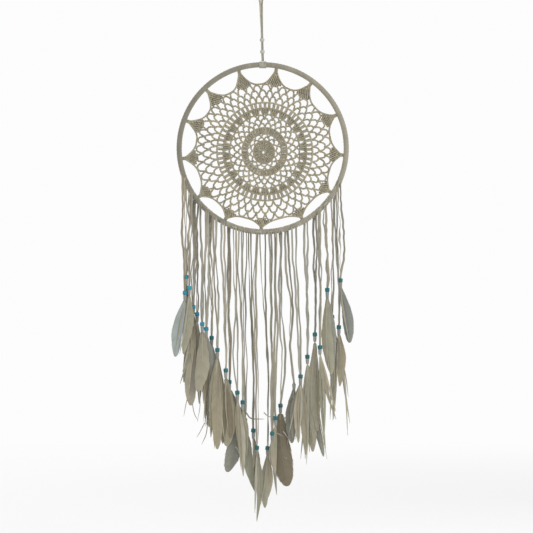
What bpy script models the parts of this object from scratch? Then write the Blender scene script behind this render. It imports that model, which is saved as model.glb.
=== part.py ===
"""Dream catcher: a wrapped steel hoop that holds a crocheted web, hangs from a corded loop with two
wooden beads, and carries a fringe of folded laces, each with a glass bead and a bunch of feathers.

Units are metres, +Z is up and -Y faces the viewer. The origin is the top of the hanging loop, where a
hook holds the object. Strands hang in two layers, in front of the hoop and behind it, by turns.
"""

import math

import bmesh
import bpy
from mathutils import Vector

MM = 0.001
GAP = 0.3 * MM

# Hoop: a steel ring in a tube of wound lace above and a row of lace knots below.
HOOP_CENTRE = Vector((4 * MM, 0, -300 * MM))
HOOP_RADIUS = 155 * MM
CORE_RADIUS = 3.2 * MM
WRAP_RADIUS = 5.0 * MM
WRAP_THICKNESS = 1.5 * MM
HOOP_STEPS = 48
TUBE_SIDES = 8
KNOTS_START = math.radians(112.5)
KNOTS_END = math.radians(247.5)

# Hanger: a doubled cord from the hook to a knot round the top of the hoop, with two round beads.
CORD_RADIUS = 1.0 * MM
CORD_HALF_SPACING = 1.1 * MM
LOOP_HALF_WIDTH = 6.0 * MM
LOOP_LENGTH = 24 * MM
KNOT_HALF_LENGTH = 7.0 * MM
KNOT_INNER_RADIUS = 5.6 * MM
KNOT_OUTER_RADIUS = 7.0 * MM
KNOT_DROP = 0.23 * MM
HANGER_BEAD_RADIUS = 4.4 * MM
HANGER_BEAD_HOLE = 2.4 * MM
HANGER_BEAD_DROPS = {"hanger_bead_upper": 99 * MM, "hanger_bead_lower": 121 * MM}

# Web: a flat crocheted star with thirteen points that reach the hoop.
WEB_CENTRE = HOOP_CENTRE + Vector((1 * MM, 0, -8 * MM))
WEB_THICKNESS = 2.0 * MM
WEB_HOLE_RADIUS = 2.0 * MM
WEB_REACH = 149.2 * MM
WEB_DIP_RADIUS = 128 * MM
WEB_POINT_ANGLES = (-16.7, 8.9, 34.6, 62.8, 91.8, 120.4, 149.5, 181.4, 209.5, 235.5, 265.7, 292.4, 317.7)
POINTS_PER_DIP = 8

# Strands: a folded lace, a short tube bead and a feather bunch each.
LAYER_OFFSET = 6.5 * MM
LACE_RADIUS = 0.9 * MM
LACE_HALF_SPACING = 1.2 * MM
LACE_OPENING = 1.6 * MM
LACE_POINT_SPACING = 60 * MM
BEAD_RADIUS = 4.3 * MM
BEAD_HOLE = 2.5 * MM
BEAD_HEIGHT = 7.4 * MM
BEAD_ROUNDING = 1.2 * MM
FEATHER_THICKNESS = 3.0 * MM
QUILL_HALF_WIDTH = 2.0 * MM

# One row a strand, left to right, in millimetres: the place of the lace on the hoop (x), the bead
# (x, z), the feather tips (x, z), the bunch's left and right sides (x), and the lace's two sways.
STRANDS = (
    (-143, -140, -568, -154, -687, -164, -127, 1.5, -1.0),
    (-119, -118, -608, -131, -776, -139, -111, -1.5, 1.0),
    (-111, -108, -626, -109, -763, -114, -88, 1.0, 1.0),
    (-97, -91, -652, -90, -823, -103, -79, 1.5, -1.5),
    (-83, -80, -674, -73, -858, -85, -60, 0.5, -1.0),
    (-58, -58, -734, -63, -901, -69, -37, 1.0, 0.5),
    (-47, -43, -753, -33, -907, -46, -29, -2.0, 1.5),
    (-29, -29, -805, -10, -934, -32, -7, 0.5, 1.5),
    (-11, -7, -855, -7, -992, -11, 3, -3.0, 1.0),
    (10, 13, -857, 9, -968, 3, 22, 1.5, -1.0),
    (21, 28, -800, 31, -941, 23, 33, -2.0, 1.5),
    (37, 37, -778, 48, -928, 30, 63, 1.0, 1.5),
    (62, 74, -723, 62, -849, 51, 79, 2.0, -1.0),
    (85, 87, -687, 82, -878, 79, 101, -1.0, 1.0),
    (107, 110, -669, 114, -841, 102, 127, 1.5, 1.5),
    (134, 133, -613, 138, -815, 123, 153, -1.0, -1.5),
    (145, 148, -545, 163, -660, 143, 169, -1.5, 1.0),
)


def clear_scene():
    for old in list(bpy.data.objects):
        bpy.data.objects.remove(old, do_unlink=True)


def new_collection(name):
    collection = bpy.data.collections.new(name)
    bpy.context.scene.collection.children.link(collection)
    return collection


def new_material(name, colour, roughness, metallic=0.0):
    material = bpy.data.materials.new(name)
    material.use_nodes = True
    shader = material.node_tree.nodes["Principled BSDF"]
    shader.inputs["Base Color"].default_value = (*colour, 1)
    shader.inputs["Roughness"].default_value = roughness
    shader.inputs["Metallic"].default_value = metallic
    return material


clear_scene()
PARTS = new_collection("dream_catcher")


def new_part(name, data, material, axis, place):
    """Adds a named part at a world place, parented to the empty on its body's axis."""
    part = bpy.data.objects.new(name, data)
    PARTS.objects.link(part)
    data.materials.append(material)
    part.parent = axis
    part.location = place - (world_place(axis) if axis else Vector())
    return part


def world_place(axis):
    place = Vector()
    while axis:
        place += axis.location
        axis = axis.parent
    return place


def axis_empty(name, place, parent=None):
    """An empty on a joint's axis, which the moving parts and the next axes hang from."""
    empty = bpy.data.objects.new(name, None)
    empty.empty_display_size = 10 * MM
    PARTS.objects.link(empty)
    empty.parent = parent
    empty.location = place - world_place(parent)
    return empty


def shade_smooth(mesh, sharp_from=40):
    mesh.shade_smooth()
    mesh.set_sharp_from_angle(angle=math.radians(sharp_from))


def tube_curve(name, points, radius):
    """A round cord along the points, with filled ends."""
    curve = bpy.data.curves.new(name, "CURVE")
    curve.dimensions = "3D"
    curve.bevel_depth = radius
    curve.bevel_resolution = 2
    curve.use_fill_caps = True
    spline = curve.splines.new("POLY")
    spline.points.add(len(points) - 1)
    for spot, point in zip(spline.points, points):
        spot.co = (*point, 1)
        spot.radius = 1
    spline.use_smooth = True
    return curve


def flat_curve(name, outlines, thickness):
    """A flat plate with the given closed outlines, the later ones holes; x is across and y is up."""
    curve = bpy.data.curves.new(name, "CURVE")
    curve.dimensions = "2D"
    curve.fill_mode = "BOTH"
    curve.extrude = thickness / 2
    for outline in outlines:
        spline = curve.splines.new("POLY")
        spline.points.add(len(outline) - 1)
        for spot, (across, up) in zip(spline.points, outline):
            spot.co = (across, up, 0, 1)
        spline.use_cyclic_u = True
    return curve


def profile_mesh(name, points, closed=True):
    """An outline of edges in the XZ plane, for a Screw modifier."""
    mesh = bpy.data.meshes.new(name)
    bm = bmesh.new()
    verts = [bm.verts.new((x, 0, z)) for x, z in points]
    for start, end in zip(verts, verts[1:]):
        bm.edges.new((start, end))
    if closed:
        bm.edges.new((verts[-1], verts[0]))
    bm.to_mesh(mesh)
    bm.free()
    return mesh


def turn_profile(part, axis, steps, angle=math.tau):
    screw = part.modifiers.new("turned", "SCREW")
    screw.axis = axis
    screw.angle = angle
    screw.steps = steps
    screw.render_steps = steps
    screw.use_merge_vertices = angle == math.tau
    screw.merge_threshold = 0.00001
    screw.use_smooth_shade = True
    return screw


def face_forward(part):
    """Stands a flat XY shape up in the XZ plane."""
    part.rotation_euler.x = math.radians(90)


# ---- hoop


def hoop_point(angle, radius=HOOP_RADIUS, centre=HOOP_CENTRE):
    """A point round the hoop, at an angle clockwise from its top."""
    return centre + Vector((radius * math.sin(angle), 0, radius * math.cos(angle)))


def make_core(axis, material):
    bpy.ops.mesh.primitive_torus_add(
        major_radius=HOOP_RADIUS,
        minor_radius=CORE_RADIUS,
        major_segments=HOOP_STEPS,
        minor_segments=TUBE_SIDES,
    )
    torus = bpy.context.object
    mesh = torus.data
    bpy.data.objects.remove(torus)
    mesh.name = "hoop_core"
    core = new_part("hoop_core", mesh, material, axis, HOOP_CENTRE)
    face_forward(core)
    shade_smooth(mesh)
    return core


def make_wrap(name, start, end, axis, material):
    """An open-ended tube round the core, from one angle to the other, clockwise from the top."""
    trim = GAP / HOOP_RADIUS / 2
    start += trim
    end -= trim
    bm = bmesh.new()
    bmesh.ops.create_circle(bm, segments=TUBE_SIDES, radius=WRAP_RADIUS)
    for vert in bm.verts:
        radius = HOOP_RADIUS + vert.co.x
        across = vert.co.y
        vert.co = (radius * math.sin(start), across, radius * math.cos(start))
    mesh = bpy.data.meshes.new(name)
    bm.to_mesh(mesh)
    bm.free()
    wrap = new_part(name, mesh, material, axis, HOOP_CENTRE)
    steps = round((end - start) / math.tau * HOOP_STEPS)
    turn_profile(wrap, "Y", steps, end - start)
    shell = wrap.modifiers.new("wall", "SOLIDIFY")
    shell.thickness = WRAP_THICKNESS
    shell.offset = -1
    return wrap


def scallop_point(tip_angle, next_angle, share):
    """A point on the web's edge between two of its points; share goes from 0 to 1."""
    angle = tip_angle + (next_angle - tip_angle) * share
    out = Vector((math.sin(angle), 0, math.cos(angle)))
    shift = WEB_CENTRE - HOOP_CENTRE
    along = shift.dot(out)
    reach = -along + math.sqrt(along**2 + WEB_REACH**2 - shift.length_squared)
    dip = math.sin(math.pi * share) ** 0.55
    return out * (reach + (WEB_DIP_RADIUS - reach) * dip)


def make_web(axis, material):
    angles = [math.radians(angle) for angle in WEB_POINT_ANGLES]
    outline = []
    for tip_angle, next_angle in zip(angles, angles[1:] + [angles[0] + math.tau]):
        for step in range(POINTS_PER_DIP):
            point = scallop_point(tip_angle, next_angle, step / POINTS_PER_DIP)
            outline.append((point.x, point.z))
    hole = [
        (WEB_HOLE_RADIUS * math.cos(turn), WEB_HOLE_RADIUS * math.sin(turn))
        for turn in (step * math.tau / 8 for step in range(8))
    ]
    curve = flat_curve("web", [outline, hole], WEB_THICKNESS)
    web = new_part("web", curve, material, axis, WEB_CENTRE)
    face_forward(web)
    return web


# ---- hanger


def cord_axis_point(drop):
    """The doubled cord's middle at a height under the hook."""
    knot_top = KNOT_PLACE + Vector((0, 0, KNOT_OUTER_RADIUS))
    return knot_top * (drop / -knot_top.z)


def loop_half_width(drop):
    """The loop is widest just under the hook and closes to two touching cords below it."""
    if drop < LOOP_HALF_WIDTH:
        return math.sqrt(LOOP_HALF_WIDTH**2 - (LOOP_HALF_WIDTH - drop) ** 2)
    share = min(1, (drop - LOOP_HALF_WIDTH) / LOOP_LENGTH)
    closing = (1 + math.cos(math.pi * share)) / 2
    return CORD_HALF_SPACING + (LOOP_HALF_WIDTH - CORD_HALF_SPACING) * closing


def make_loop(material):
    bottom = -(KNOT_PLACE.z + KNOT_OUTER_RADIUS) - GAP - CORD_RADIUS
    drops = [LOOP_HALF_WIDTH * (1 - math.cos(math.radians(turn))) for turn in (18, 45, 70)]
    step = 6 * MM
    drop = LOOP_HALF_WIDTH
    while drop < bottom - step / 2:
        drops.append(drop)
        drop += step
    drops.append(bottom)
    right = [cord_axis_point(drop) + Vector((loop_half_width(drop), 0, 0)) for drop in drops]
    left = [cord_axis_point(drop) - Vector((loop_half_width(drop), 0, 0)) for drop in drops]
    points = left[::-1] + [Vector()] + right
    for point in points:
        point.z -= CORD_RADIUS
    return new_part("hanging_loop", tube_curve("hanging_loop", points, CORD_RADIUS), material, None, Vector())


def make_hanger_bead(name, drop, material):
    rim = math.asin(HANGER_BEAD_HOLE / HANGER_BEAD_RADIUS)
    turns = [rim + (math.pi - 2 * rim) * step / 5 for step in range(6)]
    profile = [(HANGER_BEAD_RADIUS * math.sin(turn), HANGER_BEAD_RADIUS * math.cos(turn)) for turn in turns]
    axis = axis_empty(f"{name}_slide_axis", cord_axis_point(drop))
    bead = new_part(name, profile_mesh(name, profile), material, axis, cord_axis_point(drop))
    turn_profile(bead, "Z", 12)
    bead.rotation_euler.y = math.atan2(-KNOT_PLACE.x, -KNOT_PLACE.z - KNOT_OUTER_RADIUS)
    return bead


def make_hanger_knot(axis, material):
    """A rounded sleeve of cord round the hoop's top, on the X axis."""
    rounding = KNOT_HALF_LENGTH - 2 * MM
    profile = [
        (KNOT_INNER_RADIUS, KNOT_HALF_LENGTH),
        (KNOT_OUTER_RADIUS - 0.6 * MM, KNOT_HALF_LENGTH),
        (KNOT_OUTER_RADIUS, rounding),
        (KNOT_OUTER_RADIUS, -rounding),
        (KNOT_OUTER_RADIUS - 0.6 * MM, -KNOT_HALF_LENGTH),
        (KNOT_INNER_RADIUS, -KNOT_HALF_LENGTH),
    ]
    knot = new_part("hanger_knot", profile_mesh("hanger_knot", profile), material, axis, KNOT_PLACE)
    turn_profile(knot, "Z", 12)
    knot.rotation_euler.y = math.radians(90)
    return knot


# ---- strands


def lace_points(top, bead, sway, wave, side):
    """One tail of a folded lace, from the fold down to its bead's top and straight into the bead."""
    entry = bead + Vector((0, 0, BEAD_HEIGHT))
    count = max(4, round((top - entry).length / LACE_POINT_SPACING))
    points = []
    for step in range(count + 1):
        share = step / count
        spread = LACE_HALF_SPACING + LACE_OPENING * math.sin(math.pi * share)
        bend = sway * math.sin(math.pi * share) + wave * math.sin(math.tau * share)
        points.append(top.lerp(entry, share) + Vector((bend + side * spread, 0, 0)))
    points.append(bead + Vector((side * LACE_HALF_SPACING, 0, -BEAD_HEIGHT / 4)))
    return points


def make_lace(name, hinge, bead_place, sway, wave, axis, material):
    """A lace folded over in a small arch at the hinge; both tails run into the bead."""
    arch = LACE_HALF_SPACING
    top = Vector((0, 0, -arch - LACE_RADIUS))
    bead = bead_place - hinge
    left = lace_points(top, bead, sway, wave, -1)
    right = lace_points(top, bead, sway, wave, 1)
    crown = [
        top + Vector((-arch * math.cos(turn), 0, arch * math.sin(turn)))
        for turn in (math.radians(45), math.radians(90), math.radians(135))
    ]
    curve = tube_curve(name, left[::-1] + crown + right, LACE_RADIUS)
    return new_part(name, curve, material, axis, hinge)


def make_bead(name, place, axis, material):
    half = BEAD_HEIGHT / 2
    shoulder = BEAD_RADIUS - BEAD_ROUNDING / 2
    profile = [
        (BEAD_HOLE, half),
        (shoulder, half),
        (BEAD_RADIUS, half - BEAD_ROUNDING),
        (BEAD_RADIUS, BEAD_ROUNDING - half),
        (shoulder, -half),
        (BEAD_HOLE, -half),
    ]
    bead = new_part(name, profile_mesh(name, profile), material, axis, place)
    turn_profile(bead, "Z", 10)
    return bead


def make_feathers(name, base, tip, left_side, right_side, axis, material):
    """A flat leaf-shaped plate the size of a whole bunch, from its quills down to its tips."""
    shares = (0, 0.1, 0.25, 0.45, 0.65, 0.82, 0.94)
    middle = base.lerp(tip, 0.5).x
    lefts, rights = [], []
    for share in shares:
        spine = (tip - base) * share
        swell = math.sin(math.pi * share) ** 0.6
        lefts.append((spine.x - max(QUILL_HALF_WIDTH, (middle - left_side) * swell), spine.z))
        rights.append((spine.x + max(QUILL_HALF_WIDTH, (right_side - middle) * swell), spine.z))
    outline = lefts + [(tip.x - base.x, tip.z - base.z)] + rights[::-1]
    feathers = new_part(name, flat_curve(name, [outline], FEATHER_THICKNESS), material, axis, base)
    face_forward(feathers)
    return feathers


def make_strand(number, row, hoop_axis, materials):
    top_x, bead_x, bead_z, tip_x, tip_z, left, right, sway, wave = (value * MM for value in row)
    depth = -LAYER_OFFSET if number % 2 else LAYER_OFFSET
    from_middle = top_x - HOOP_CENTRE.x
    drop = math.sqrt(HOOP_RADIUS**2 - from_middle**2)
    hinge = Vector((top_x, depth, HOOP_CENTRE.z - drop))
    bead_place = Vector((bead_x, depth, bead_z))
    axis = axis_empty(f"strand_{number:02d}_axis", hinge, hoop_axis)
    make_lace(f"lace_{number:02d}", hinge, bead_place, sway, wave, axis, materials["lace"])
    make_bead(f"bead_{number:02d}", bead_place, axis, materials["bead"])
    base = bead_place - Vector((0, 0, BEAD_HEIGHT / 2 + GAP))
    tip = Vector((tip_x, depth, tip_z))
    make_feathers(f"feathers_{number:02d}", base, tip, left, right, axis, materials["feather"])


KNOT_PLACE = hoop_point(0) - Vector((0, 0, KNOT_DROP))

materials = {
    "steel": new_material("hoop_steel", (0.35, 0.34, 0.33), 0.45, 1.0),
    "lace": new_material("suede_lace", (0.27, 0.24, 0.19), 0.9),
    "cord": new_material("cotton_cord", (0.42, 0.38, 0.30), 0.85),
    "yarn": new_material("web_yarn", (0.38, 0.33, 0.24), 0.85),
    "wood": new_material("pale_wood", (0.62, 0.56, 0.45), 0.55),
    "bead": new_material("turquoise_glass", (0.02, 0.22, 0.27), 0.25),
    "feather": new_material("grey_feather", (0.30, 0.28, 0.22), 0.8),
}

make_loop(materials["cord"])
for bead_name, bead_drop in HANGER_BEAD_DROPS.items():
    make_hanger_bead(bead_name, bead_drop, materials["wood"])

turn_axis = axis_empty("hoop_turn_axis", KNOT_PLACE)
make_hanger_knot(turn_axis, materials["cord"])

tilt_axis = axis_empty("hoop_tilt_axis", KNOT_PLACE, turn_axis)
make_core(tilt_axis, materials["steel"])
make_wrap("hoop_wrap", KNOTS_END - math.tau, KNOTS_START, tilt_axis, materials["lace"])
make_wrap("hoop_knots", KNOTS_START, KNOTS_END, tilt_axis, materials["lace"])
make_web(tilt_axis, materials["yarn"])

for number, row in enumerate(STRANDS, 1):
    make_strand(number, row, tilt_axis, materials)
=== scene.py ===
"""A dream catcher on its hook: lace-wrapped hoop, crocheted web, folded laces with glass beads and
feathers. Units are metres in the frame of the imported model: +Z is up and -Y faces the viewer."""

import math

import bpy
import numpy as np
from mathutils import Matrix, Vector


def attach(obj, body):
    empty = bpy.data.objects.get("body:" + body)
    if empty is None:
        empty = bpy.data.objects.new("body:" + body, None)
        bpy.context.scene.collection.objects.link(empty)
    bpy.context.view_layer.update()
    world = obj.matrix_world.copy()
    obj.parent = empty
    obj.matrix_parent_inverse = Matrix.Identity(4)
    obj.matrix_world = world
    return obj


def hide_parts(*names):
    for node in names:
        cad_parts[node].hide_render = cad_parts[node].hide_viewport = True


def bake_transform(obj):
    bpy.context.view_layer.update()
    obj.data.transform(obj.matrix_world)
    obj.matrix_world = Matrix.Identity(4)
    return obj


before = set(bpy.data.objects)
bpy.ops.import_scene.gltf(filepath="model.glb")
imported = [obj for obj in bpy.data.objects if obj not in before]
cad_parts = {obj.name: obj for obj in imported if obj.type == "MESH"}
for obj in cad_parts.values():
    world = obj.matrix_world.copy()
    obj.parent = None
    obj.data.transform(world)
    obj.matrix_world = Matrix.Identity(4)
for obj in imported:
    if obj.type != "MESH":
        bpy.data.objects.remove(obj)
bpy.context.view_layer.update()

MM = 0.001
UP = np.array((0.0, 0.0, 1.0))
TOWARDS_VIEWER = np.array((0.0, -1.0, 0.0))

# The camera looks level along +Y from well back, as a product photograph does.
CAMERA_PLACE = (0.011, -4.0, -0.5194)
FRAME_WIDTH = 0.989
SENSOR_WIDTH = 36.0
FARTHEST_SEEN = 200
FLOOR_HEIGHT = -1.12
FLOOR_HALF_WIDTH = 60.0
FLOOR_FADE = (0.8, 3.5)
STUDIO_WHITE = 0.98
# A shadow painted on the floor: its middle and how far it reaches.
PAINTED_SHADOW_PLACE = (0.8, 1.6, 0)
PAINTED_SHADOW_RADIUS = 1.6
KEY_LIGHT_PLACE = (1.4, -1.5, 0.35)
KEY_LIGHT_AIM = (0, 0, -0.5)
KEY_LIGHT_SIZE = 0.8
KEY_LIGHT_WATTS = 17

# Colours as 8-bit sRGB values, and the steel's as linear ones.
HOOP_COLOUR = (140, 135, 119)
LACE_COLOUR = (147, 142, 127)
WEB_COLOUR = (153, 146, 124)
CORD_COLOUR = (157, 153, 137)
KNOT_COLOUR = (150, 146, 130)
WOOD_COLOUR = (168, 168, 160)
BEAD_COLOUR = (2, 90, 93)
LIGHT_BEAD_COLOUR = (10, 131, 152)
SLEEVE_COLOUR = (150, 150, 142)
STEEL_COLOUR = (0.4, 0.39, 0.38, 1)
BLUE_GREY = (142, 151, 148)
SLATE = (108, 110, 104)
GREY = (120, 120, 109)
BEIGE = (141, 134, 113)
BROWN = (101, 92, 72)
PALE = (149, 144, 128)
OLIVE = (133, 130, 110)

# Hoop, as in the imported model. Angles on it run clockwise from its top.
HOOP_CENTRE = np.array((4, 0, -300)) * MM
HOOP_RADIUS = 155 * MM
TUBE_RADIUS = 5.0 * MM
KNOTS_START = math.radians(112.5)
KNOTS_END = math.radians(247.5)
WRAP_PITCH = 6.2 * MM
WRAP_LACES = 2
WRAP_RINGS_A_TURN = 14
WRAP_SIDES = 24
RIDGE_PITCH = 3.4 * MM

# Hanger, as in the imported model.
CORD_RADIUS = 1.0 * MM
CORD_HALF_SPACING = 1.1 * MM
LOOP_HALF_WIDTH = 6.0 * MM
LOOP_LENGTH = 24 * MM
KNOT_TURNS = 6
KNOT_PITCH = 2.15 * MM
KNOT_OUTER_RADIUS = 7.0 * MM
KNOT_PLACE = HOOP_CENTRE + UP * (HOOP_RADIUS - 0.23 * MM)
HANGER_BEAD_RADIUS = 4.4 * MM
HANGER_BEAD_HOLE = 2.4 * MM
HANGER_BEADS = {"upper_bead": 99 * MM, "lower_bead": 121 * MM}

# Web: its middle, its reach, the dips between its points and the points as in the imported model.
WEB_CENTRE = HOOP_CENTRE + np.array((1, 0, -8)) * MM
WEB_REACH = 149.2 * MM
WEB_DIP_RADIUS = 128 * MM
WEB_POINTS = np.radians(
    (-16.7, 8.9, 34.6, 62.8, 91.8, 120.4, 149.5, 181.4, 209.5, 235.5, 265.7, 292.4, 317.7)
)

# The web's stitches from the middle out, in millimetres and radians. A ring of yarn is its radius, its
# half width and how far it stands out. A band of posts is how many, where they start and end, their half
# width, and the half width and shade of the darker yarn between them, which is painted shade. Loops are
# a row's feet and tops.
HUB_RING = (3.2, 1.4, 0)
CENTRE_POSTS = (14, 3.6, 9.8, 1.7, 0.9, 0.5)
CENTRE_RING = (10.6, 1.4, 0.4)
DISC_POSTS = (28, 11.2, 17.9, 1.75, 0.9, 0.5)
DISC_RINGS = ((18.6, 1.5, 0.4), (20.6, 1.5, 0))
INNER_LOOPS = ((20.8, 26.8), (26.4, 32.6))
INNER_LOOP_COUNT = 13
BAND_POSTS = (60, 33.2, 42.6, 2.1, 0.8, 0.6)
BAND_RINGS = ((32.8, 1.6, 0), (43.2, 1.6, 0.4))
MIDDLE_LOOPS = ((43.6, 51.4), (50.9, 59.1), (58.5, 66.8))
FAN_COUNT = 26
FAN_POSTS = 4
FAN_SPACING = 0.036
FAN_LEAN = 0.026
FAN_REACH = (65.8, 78.0)
ARCH_REACH = (65.5, 76.5)
ARCH_INSET = 0.06
PAIR_COUNT = 62
PAIR_HALF_SPACING = 0.016
PAIR_REACH = (79.6, 89)
RIM_RINGS = ((78.8, 2.1, 0.4), (90, 2.1, 0.4))
OUTER_LOOPS = ((90.5, 102.4), (101.8, 114), (113.4, 125.6))
OUTER_LOOP_COUNT = 45
POINT_REACH = (122.6, 148)
POINT_ROW_HEIGHT = 3.7
POINT_POST_SPACING = 2.0
TIE_LENGTH = 13
TIE_HALF_WIDTH = 2.8
TIE_END_HALF_WIDTH = 1.9
LOOP_YARN_HALF_WIDTH = 1.95
INNER_LOOP_YARN_HALF_WIDTH = 1.75

# Strands. Those on odd bodies hang in front of the hoop and those on even bodies behind it.
BEAD_RADIUS = 4.3 * MM
BEAD_HOLE = 2.5 * MM
BEAD_HALF_HEIGHT = 3.7 * MM
LAST_LIGHT_BEAD = 3
LACE_HALF_WIDTH = 1.85 * MM
LACE_HALF_THICKNESS = 0.5 * MM
TAIL_HALF_SPACING = 0.9 * MM
LACE_TOP_DEPTH = 6.6 * MM
SLEEVE_LENGTH = 12 * MM
LOWEST_TIP = -990 * MM
BARB_PITCH = 0.95 * MM
BARB_HALF_WIDTH = 0.7 * MM
BARBS_A_CLUMP = 7
FIRST_BARB = 0.04
SPINE_POINTS = 60

# A strand a row, in millimetres: its depth, its bead (x, z), and x down its left and its right tail,
# from the hoop to just above the bead. Its name is its body's number and a letter, and the strand with
# the letter a stands for that body's CAD pieces.
STRANDS = {
    "01a": (-6.5, (-140, -568), (-144.5, -144, -144.5, -143), (-141, -140.5, -139, -139.5)),
    "01b": (-4.0, (-138, -538.5), (-138.5, -138.5, -137, -138), (-135.5, -134.5, -134.5, -136)),
    "01c": (-6.5, (-132.5, -559), (-131, -130, -132, -133), (-127.5, -128, -129, -131)),
    "02a": (6.5, (-118, -608), (-120, -121, -119, -120), (-116, -117, -115.5, -117)),
    "02b": (4.5, (-125, -594.5), (-127, -127.5, -125, -127), (-123.5, -124, -122, -124)),
    "03a": (-6.5, (-108, -626), (-113, -112.5, -110.5, -109.5), (-110, -109.5, -108, -106)),
    "03b": (-4.5, (-100.6, -635), (-101, -99.5, -101.5, -102), (-98, -96, -98.5, -99)),
    "04a": (6.5, (-91, -652), (-95.5, -96, -94, -92.5), (-92, -92.5, -90.5, -89.5)),
    "05a": (-6.5, (-80, -674), (-88, -87.5, -86, -82), (-83, -83.5, -81, -79)),
    "05b": (-4.5, (-64.4, -712), (-72, -71.5, -68, -66.5), (-68.5, -68, -66, -63.5)),
    "06a": (6.5, (-58, -734), (-60.5, -60, -59.5, -59), (-57, -57.5, -58.5, -56)),
    "07a": (-6.5, (-43, -753), (-50.5, -50, -49, -51.5), (-46, -45, -43.5, -42)),
    "07b": (-4.5, (-33, -771), (-39.5, -39.5, -37, -35.5), (-35.5, -35, -34, -32)),
    "08a": (6.5, (-29, -805), (-31.5, -31, -30.5, -30), (-26.5, -27, -28, -27.5)),
    "08b": (4.5, (-13.4, -824), (-22, -21, -19.5, -15), (-18.5, -17.5, -15.5, -12)),
    "09a": (-6.5, (-7, -855), (-7, -13.5, -9.5, -8), (-4, -9, -6.5, -5.5)),
    "10a": (6.5, (13, -857), (-1.5, 3, 9.5, 12), (8.5, 10, 13, 14)),
    "11b": (-4.5, (21.6, -829), (15.5, 17, 19, 20.5), (19.5, 20.5, 21.5, 23)),
    "11a": (-6.5, (28, -800), (25, 26, 27.5, 27), (28.5, 29, 31, 29.5)),
    "12a": (6.5, (37, -778), (35, 36, 36.5, 38), (38, 38, 40.5, 46)),
    "12b": (4.0, None, (46.5, 49, 55.5, 52.5), (49.5, 52, 58, 55.5)),
    "13a": (-6.5, (74, -723), (57, 61, 66, 70), (66, 68, 72.5, 74.5)),
    "14a": (6.5, (87, -687), (81.5, 82, 84.5, 86), (85.5, 86.5, 88.5, 88.5)),
    "14b": (4.0, (100.8, -645.5), (100, 100.5, 99.5, 100), (103.5, 104, 102.5, 102.5)),
    "15a": (-6.5, (110, -669), (107.5, 107.5, 108, 108.5), (110.5, 111, 111.5, 112)),
    "15b": (-4.5, (123.6, -562.6), (117.5, 118.5, 121, 122.5), (121, 122, 124.5, 125.5)),
    "16a": (6.5, (133, -613), (130.5, 131, 132, 131.5), (134.5, 135, 135.5, 135)),
    "16b": (4.5, (145.4, -632), (138, 139, 142, 144), (141, 142.5, 145, 147)),
    "17a": (-6.5, (148, -545), (143.5, 144.5, 147, 147), (147, 148, 152, 154.5)),
}
BEADLESS_END = {"12b": (62, -737)}

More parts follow.
